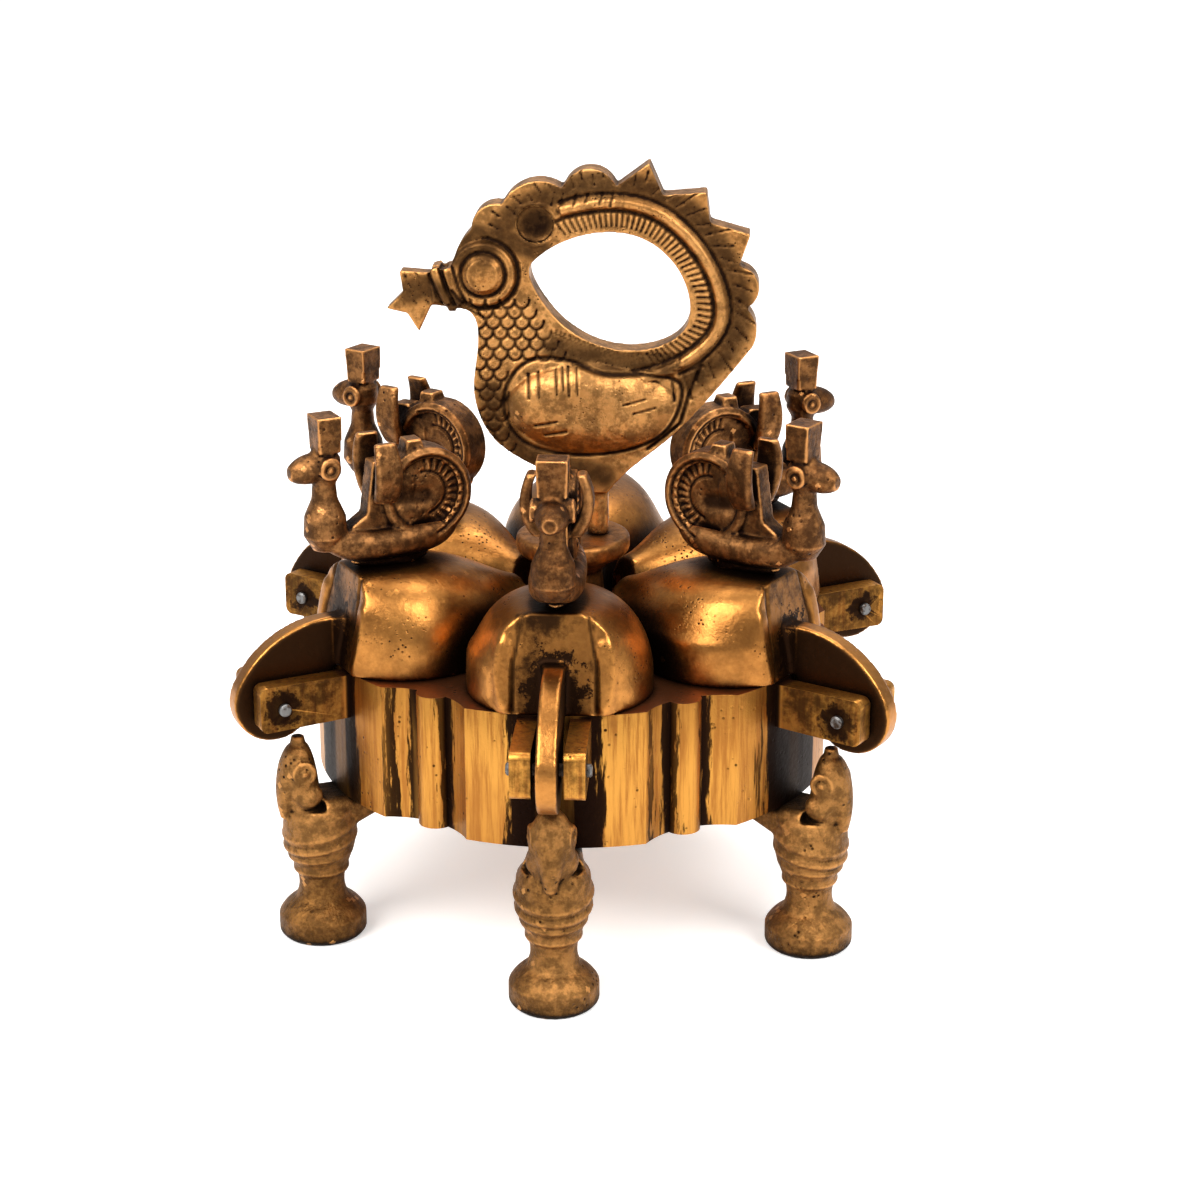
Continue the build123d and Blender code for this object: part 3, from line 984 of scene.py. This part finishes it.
@dataclass
class BirdLeg:
    """Leg: turned foot and a perched bird with folded wings, its beak on its breast."""

    finish: BrassFinish
    voxel: float = 0.30
    axis_r: float = 44.6

    def details(self) -> list[Piece]:
        """Feather folds round the breast, collar, foot rim and eyes.

        Returns:
            The pieces to fuse with the cast shape.
        """
        made: list[Piece] = []
        for z, radius, tilt in ((20.6, 5.0, 16.0), (18.4, 5.5, 13.0), (16.2, 5.3, 10.0), (14.2, 4.6, 6.0)):
            made.append(ring((self.axis_r, 0.0, z), radius, 0.72, (0.0, tilt, 0.0)))
        made.append(ring((self.axis_r, 0.0, 11.4), 3.7, 0.75, (0.0, 0.0, 0.0)))
        made.append(ring((self.axis_r, 0.0, 2.7), 6.3, 0.55, (0.0, 0.0, 0.0)))
        for side in Side:
            made.append(ring((48.0, side.value * 2.9, 28.6), 1.5, 0.55, (90.0, 0.0, side.value * -12.0)))
            made.append(pebble((48.0, side.value * 3.0, 28.6), (0.8, 0.7, 0.8)))
            made.append(pebble((47.0, side.value * 2.6, 24.4), (2.2, 1.4, 1.9), (0.0, 30.0, 0.0)))
        return made

    def build(self) -> None:
        """Make the leg once and copy it to the four legs."""
        material = self.finish.material()
        body = copy_of_node("leg_right", "leg_body", LEGS["leg_right"])
        model = join([body, *self.details()], "leg_model")
        cast_skin(model, self.voxel, 2)
        paint(model, material)
        for node, degrees in LEGS.items():
            leg = turned_copy(model, f"brass_{node}", degrees)
            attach(leg, "box")
            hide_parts(node)
            log.info("%s, %d faces", node, len(leg.data.polygons))
        bpy.data.objects.remove(model)


@dataclass
class Peacock:
    """Peacock finial: plate with scale feathers, ribbed ring, raised bands and a swelling wing."""

    finish: BrassFinish
    base_finish: BrassFinish
    voxel: float = 0.25
    face: float = 2.5
    hole: tuple[tuple[float, float], ...] = (
        (-5.9, 104.5), (1.3, 108.6), (10.8, 108.4), (17.6, 101.3),
        (17.8, 94.8), (8.6, 90.7), (0.4, 93.4), (-4.6, 98.6),
    )
    centre: tuple[float, float] = (6.6, 99.3)
    eye: tuple[float, float] = (-13.6, 102.6)
    recess: tuple[float, float] = (-5.5, 110.4)
    wing: tuple[tuple[float, float], ...] = (
        (16.9, 85.6), (16.4, 80.6), (13.0, 76.6), (6.5, 74.3), (-1.5, 73.9), (-7.6, 75.8),
        (-10.5, 80.2), (-10.0, 85.2), (-6.6, 88.9), (-1.2, 89.2), (5.2, 87.2), (11.5, 87.0),
    )

    def smooth_loop(self, corners: Sequence[tuple[float, float]], parts: int) -> list[Vector]:
        """Closed smooth line through corner points.

        Args:
            corners: The points, as X and height in millimetres.
            parts: How many points lie on each stretch.

        Returns:
            The line's points.
        """
        spots = [Vector(corner) for corner in corners]
        count = len(spots)
        line: list[Vector] = []
        for number in range(count):
            a, b, c, d = (spots[(number + shift) % count] for shift in (-1, 0, 1, 2))
            for part in range(parts):
                t = part / parts
                line.append(0.5 * (2 * b + (c - a) * t + (2 * a - 5 * b + 4 * c - d) * t * t
                                   + (3 * b - a - 3 * c + d) * t ** 3))
        return line

    def beside_hole(self, degrees: float, out: float) -> Point:
        """Place at an angle about the ring's middle and a distance outside its hole.

        Args:
            degrees: The angle.
            out: The distance in millimetres.

        Returns:
            The place, with Y at 0.
        """
        centre = Vector(self.centre)
        ray = Vector((math.cos(math.radians(degrees)), math.sin(math.radians(degrees))))
        nearest = max(self.smooth_loop(self.hole, 10), key=lambda spot: (spot - centre).normalized().dot(ray))
        reach = (nearest - centre).length + out
        return (centre.x + reach * ray.x, 0.0, centre.y + reach * ray.y)

    def arc(self, out: float, start: int, end: int) -> list[Point]:
        """Line that runs clockwise round the hole at a distance from it.

        Args:
            out: The distance in millimetres.
            start: The first angle in degrees.
            end: The last angle in degrees.

        Returns:
            The line's points.
        """
        rough = [Vector(self.beside_hole(angle, out)) for angle in range(start, end, -6)]
        eased = [0.25 * a + 0.5 * b + 0.25 * c for a, b, c in zip(rough, rough[1:], rough[2:])]
        return [tuple(spot) for spot in eased]

    def raised(self) -> list[Piece]:
        """Bands, eye and collar that stand up from the plate.

        Returns:
            The pieces to fuse with it, on both faces.
        """
        made: list[Piece] = []
        for side in Side:
            y = side.value * self.face
            band = [(x, y - side.value * 0.2, z) for x, _, z in self.arc(4.7, 128, -80)]
            made.append(bead_line(band, 0.95, "tail_band"))
            ex, ez = self.eye
            made.append(ring((ex, y, ez), 4.4, 0.75))
            made.append(ring((ex, y + side.value * 0.7, ez), 2.75, 0.5))
            made.append(pebble((ex, y + side.value * 0.7, ez), (1.75, 1.3, 1.75), rings=10))
            made.append(ring((self.recess[0], y, self.recess[1]), 3.2, 0.35))
            for x in (-21.2, -19.3):
                collar = [(x, y - side.value * 0.2, 103.3), (x + 0.9, y + side.value * 0.3, 100.5),
                          (x + 2.2, y - side.value * 0.2, 97.9)]
                made.append(bead_line(collar, 0.8, "beak_collar"))
        return made

    def on_neck(self, x: float, z: float) -> bool:
        """Whether a place on the face belongs to the scaled neck and breast.

        Args:
            x: Its X in millimetres.
            z: Its height in millimetres.

        Returns:
            True on the neck and breast.
        """
        if z > 99.0 or z < 75.5:
            return False
        right = -6.6 + 0.75 * (99.0 - z) if z > 90.0 else -10.6 + 0.35 * max(0.0, 80.0 - z)
        return -14.6 < x < min(right, -0.5)

    @staticmethod
    def bow(x: float, z: float, half_width: float, half_height: float, angles: Iterable[int]) -> list[Point]:
        """Stretch of an oval on the face.

        Args:
            x: X of its middle in millimetres.
            z: Height of its middle in millimetres.
            half_width: Half its width in millimetres.
            half_height: Half its height in millimetres.
            angles: Where its points lie, in degrees.

        Returns:
            The points.
        """
        turns = [math.radians(angle) for angle in angles]
        return [(x + half_width * math.cos(turn), 0.0, z + half_height * math.sin(turn)) for turn in turns]

    def scales(self) -> list[list[Point]]:
        """Outlines of the overlapping scale feathers on neck and breast.

        Returns:
            One bent line for each scale.
        """
        made: list[list[Point]] = []
        for row in range(15):
            z = 98.6 - 1.65 * row
            for column in range(8):
                x = -14.4 + 2.25 * column + (1.12 if row % 2 else 0.0)
                if self.on_neck(x, z):
                    made.append(self.bow(x, z, 1.15, 1.45, range(180, 361, 20)))
        return made

    def fine_lines(self) -> list[list[Point]]:
        """Ticks round the hole, barbs behind the band, strokes on comb and wing.

        Returns:
            The lines.
        """
        made = [[self.beside_hole(angle, 0.9), self.beside_hole(angle, 2.9)] for angle in range(128, -62, -4)]
        made += [[self.beside_hole(angle, 6.9), self.beside_hole(angle - 4, 8.6 + (angle % 3))]
                 for angle in range(70, -62, -7)]
        made += [[self.beside_hole(angle, 7.6 + (angle % 2)), self.beside_hole(angle, 9.2 + (angle % 2))]
                 for angle in range(150, 74, -5)]
        made += [[(x, 0.0, 88.2 - 0.2 * abs(x)), (x + 0.3, 0.0, 83.4 + (abs(x) % 1.7))]
                 for x in (-6.8, -5.2, -2.4, -1.4, -0.5, 0.8)]
        made += [[(x, 0.0, z), (x + 3.4, 0.0, z + 0.8)]
                 for x, z in ((8.2, 82.6), (9.8, 81.2), (-5.5, 79.0), (-4.0, 77.4))]
        made += [[(x, 0.0, 113.4 + 0.3 * (x % 3)), (x + 0.4, 0.0, 115.2)]
                 for x in (-3.0, -1.5, 0.4, 2.2, 4.4, 6.0)]
        made += [[(-16.4 + dx, 0.0, 97.2 + dz), (-15.2 + dx, 0.0, 96.6 + dz)]
                 for dx, dz in ((0, 0), (1.6, -0.9), (4.2, 0.4))]
        return made

    def outlines(self) -> list[list[Point]]:
        """Chased outlines: beside the band, round the wing and round the eye.

        Returns:
            The lines.
        """
        wing = [(spot.x, 0.0, spot.y) for spot in self.smooth_loop(self.wing, 4)]
        lower = [self.beside_hole(-50, 6.2), (20.2, 0.0, 88.6), (18.4, 0.0, 84.2), (17.0, 0.0, 79.2),
                 (12.0, 0.0, 75.0)]
        ex, ez = self.eye
        rounds = [self.bow(ex, ez, 5.5, 5.5, range(-150, 100, 12)),
                  self.bow(ex, ez, 3.5, 3.5, range(0, 361, 15))]
        rounds += [[(x, 0.0, 103.6), (x + 0.9, 0.0, 100.5), (x + 2.2, 0.0, 97.7)]
                   for x in (-22.3, -20.3, -18.3)]
        return [self.arc(3.4, 134, -84), self.arc(6.1, 126, -60), [*wing, wing[0]], lower, *rounds]

    def shadows(self) -> list[list[Point]]:
        """Broad painted shadows: by the comb, the recess, the beak, and round the wing.

        Returns:
            The lines along their middles.
        """
        rx, rz = self.recess
        return [self.arc(7.6, 168, -56), [(-3.0, 0.0, 91.2), (6.0, 0.0, 88.9), (14.5, 0.0, 88.6)],
                [(-12.6, 0.0, 84.0), (-12.2, 0.0, 78.5), (-7.0, 0.0, 73.8), (0.0, 0.0, 71.8),
                 (5.0, 0.0, 70.5)],
                [(-17.4, 0.0, 105.6), (-14.6, 0.0, 108.6), (rx - 3.8, 0.0, rz - 2.6),
                 (rx + 1.0, 0.0, rz - 4.2)],
                [(-25.5, 0.0, 99.4), (-22.5, 0.0, 100.4), (-17.9, 0.0, 98.0)]]

    def pits(self) -> list[list[Point]]:
        """Rough pits between ring and wing, on the comb and on the beak.

        Returns:
            One point for each pit.
        """
        made: list[list[Point]] = []
        for number in range(420):
            u, v = (number * 0.6180) % 1.0, (number * 0.7549) % 1.0
            x = -3.0 + 20.0 * u
            low, high = max(87.6, 89.7 - 0.2 * (x + 1.0)), (93.0 - 0.33 * x if x < 8.0 else 90.4)
            made.append([(x, 0.0, low + (high - low) * v)])
            if number < 90:
                made.append([self.beside_hole(165.0 - 215.0 * u, 7.4 + 2.8 * v * v)])
            if number < 26:
                made.append([(-26.0 + 4.0 * u, 0.0, 97.5 + 5.5 * v)])
        return made

    def build(self) -> None:
        """Make the peacock and dress its base."""
        body = copy_of_node("peacock", "peacock_body")
        figure = join([body, *self.raised()], "brass_peacock")
        cast_skin(figure, self.voxel, 2)
        # Painted shadows: dark marks with no cut.
        chase(figure, self.shadows(), 2.1, 0.0, through=1, mark=0.70)
        chase(figure, self.outlines(), 0.36, 0.34, through=1, mark=0.95)
        chase(figure, self.scales(), 0.25, 0.30, through=1, mark=0.85)
        chase(figure, self.fine_lines(), 0.22, 0.26, through=1, mark=0.8)
        chase(figure, self.pits(), 0.23, 0.22, through=1, mark=0.7)
        chase(figure, [[(self.recess[0], 0.0, self.recess[1])]], 2.9, 0.6, through=1, mark=1.0)
        paint(figure, self.finish.material())
        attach(figure, "box")
        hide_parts("peacock")
        base = copy_of_node("finial_base", "brass_finial_base")
        cast_skin(base, 0.4, 3)
        paint(base, self.base_finish.material())
        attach(base, "box")
        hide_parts("finial_base")
        log.info("peacock, %d faces", len(figure.data.polygons))


# Studio


@dataclass
class Studio:
    """White floor, soft lamps, pale world and the photograph's camera."""

    eye: Point = (0.0295, -0.4237, 0.1976)
    back: Point = (0.0560, -0.9421, 0.3307)
    lens: float = 83.87
    lamps: tuple[tuple[Point, float, float], ...] = (
        ((-0.45, -0.55, 0.75), 0.55, 9.0),
        ((0.55, -0.45, 0.70), 0.45, 6.5),
        ((0.05, 0.35, 0.95), 0.60, 6.0),
    )

    def build(self) -> None:
        """Set up camera, world, lamps and floor."""
        self.camera()
        self.world()
        for number, (place, size, power) in enumerate(self.lamps):
            self.lamp(f"softbox_{number}", place, size, power)
        self.floor()
        scene = bpy.context.scene
        scene.view_settings.view_transform = "Standard"
        scene.use_nodes = False

    def camera(self) -> None:
        """Place the camera where the photograph was taken from."""
        lens = bpy.data.cameras.new("photo_camera")
        lens.lens = self.lens
        lens.sensor_width = 36.0
        lens.clip_start = 0.01
        lens.clip_end = 20.0
        eye = bpy.data.objects.new("photo_camera", lens)
        bpy.context.scene.collection.objects.link(eye)
        back = Vector(self.back).normalized()
        right = Vector((0, 0, 1)).cross(back).normalized()
        up = back.cross(right)
        turn = Matrix((right, up, back)).transposed().to_4x4()
        eye.matrix_world = Matrix.Translation(Vector(self.eye)) @ turn
        bpy.context.scene.camera = eye

    def world(self) -> None:
        """Pale world that shows white to the camera and in reflections."""
        world = bpy.data.worlds.new("studio")
        bpy.context.scene.world = world
        world.use_nodes = True
        sh = Shader(world.node_tree)
        background = world.node_tree.nodes["Background"]
        path = sh.node("ShaderNodeLightPath")
        seen = sh.most(path.outputs["Is Camera Ray"], path.outputs["Is Transmission Ray"])
        ray = sh.node("ShaderNodeTexCoord").outputs["Generated"]
        height = sh.node("ShaderNodeSeparateXYZ", Vector=ray).outputs["Z"]
        sky = sh.span(height, -0.05, 0.85, 0.26, 0.85)
        mirrored = sh.times(path.outputs["Is Glossy Ray"], sky)
        level = sh.most(seen, mirrored, 0.42)
        background.inputs["Color"].default_value = (1.0, 1.0, 1.0, 1.0)
        sh.put(background.inputs["Strength"], level)

    def lamp(self, name: str, place: Point, size: float, power: float) -> None:
        """Add a soft lamp that looks at the middle of the box.

        Args:
            name: Its name.
            place: Where it hangs, in metres.
            size: Its side, in metres.
            power: Its power in watts.
        """
        data = bpy.data.lights.new(name, "AREA")
        data.size = size
        data.energy = power
        data.color = (1.0, 0.97, 0.93)
        obj = bpy.data.objects.new(name, data)
        bpy.context.scene.collection.objects.link(obj)
        obj.location = place
        aim = Vector((0.0, 0.0, 0.05)) - Vector(place)
        obj.rotation_euler = aim.to_track_quat("-Z", "Y").to_euler()

    def floor(self) -> None:
        """Add the white floor."""
        deselect_all()
        bpy.ops.mesh.primitive_plane_add(size=6.0, location=(0.0, 0.0, 0.0))
        floor = bpy.context.object
        floor.name = "floor"
        white, sh, shader = new_material("white_floor", 0.0)
        shader.inputs["Base Color"].default_value = (0.9, 0.9, 0.9, 1.0)
        shader.inputs["Roughness"].default_value = 0.9
        shader.inputs["Specular IOR Level"].default_value = 0.0
        path = sh.node("ShaderNodeLightPath")
        shader.inputs["Emission Color"].default_value = (1.0, 1.0, 1.0, 1.0)
        lift = sh.times(path.outputs["Is Camera Ray"], 0.45)
        sh.put(shader.inputs["Emission Strength"], lift)
        paint(floor, white)


def main() -> None:
    """Build the box's looks piece by piece."""
    logging.basicConfig(level=logging.INFO)
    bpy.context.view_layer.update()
    effects = Effects(patina_and_shade_group(), petal_group())
    Studio().build()
    drum = DrumFinish(
        effects, "drum_brass", (0.62, 0.290, 0.056), (0.36, 0.140, 0.028), (0.012, 0.005, 0.003),
        patina=0.04, mottle=0.20, rubbed=0.5, gloss=0.30, relief=0.2, blotch_scale=300.0, reach=0.0022,
    )
    lid = LidFinish(
        effects, "lid_brass", (0.58, 0.250, 0.060), (0.37, 0.145, 0.033), (0.018, 0.008, 0.004),
        patina=0.10, mottle=0.22, rubbed=0.5, gloss=0.22, relief=0.22, blotch_scale=160.0,
        pit_scale=1300.0, reach=0.0065,
    )
    bird = BrassFinish(
        effects, "bird_brass", (0.60, 0.275, 0.092), (0.26, 0.102, 0.030), (0.013, 0.006, 0.004),
        patina=0.46, mottle=0.36, rubbed=1.4, gloss=0.30, relief=0.4, blotch_scale=520.0, reach=0.0050,
    )
    leg = BrassFinish(
        effects, "leg_brass", (0.55, 0.262, 0.078), (0.30, 0.135, 0.036), (0.015, 0.008, 0.004),
        patina=0.32, mottle=0.30, rubbed=1.0, gloss=0.33, relief=0.7, blotch_scale=560.0, reach=0.0045,
    )
    peacock = BrassFinish(
        effects, "peacock_brass", (0.68, 0.335, 0.108), (0.44, 0.195, 0.054), (0.015, 0.007, 0.004),
        patina=0.17, mottle=0.46, rubbed=0.9, gloss=0.25, relief=0.4, blotch_scale=420.0,
        pit_scale=1500.0, reach=0.0032,
    )
    base = BrassFinish(
        effects, "base_brass", (0.46, 0.195, 0.055), (0.27, 0.105, 0.028), (0.02, 0.009, 0.005),
        patina=0.24, mottle=0.4, rubbed=0.6, gloss=0.34, relief=0.4, blotch_scale=300.0,
    )
    Drum(drum, SteelFinish(effects)).dress()
    PetalLid(lid).build()
    BirdKnob(bird).build()
    BirdLeg(leg).build()
    Peacock(peacock, base).build()


if __name__ == "__main__":
    main()
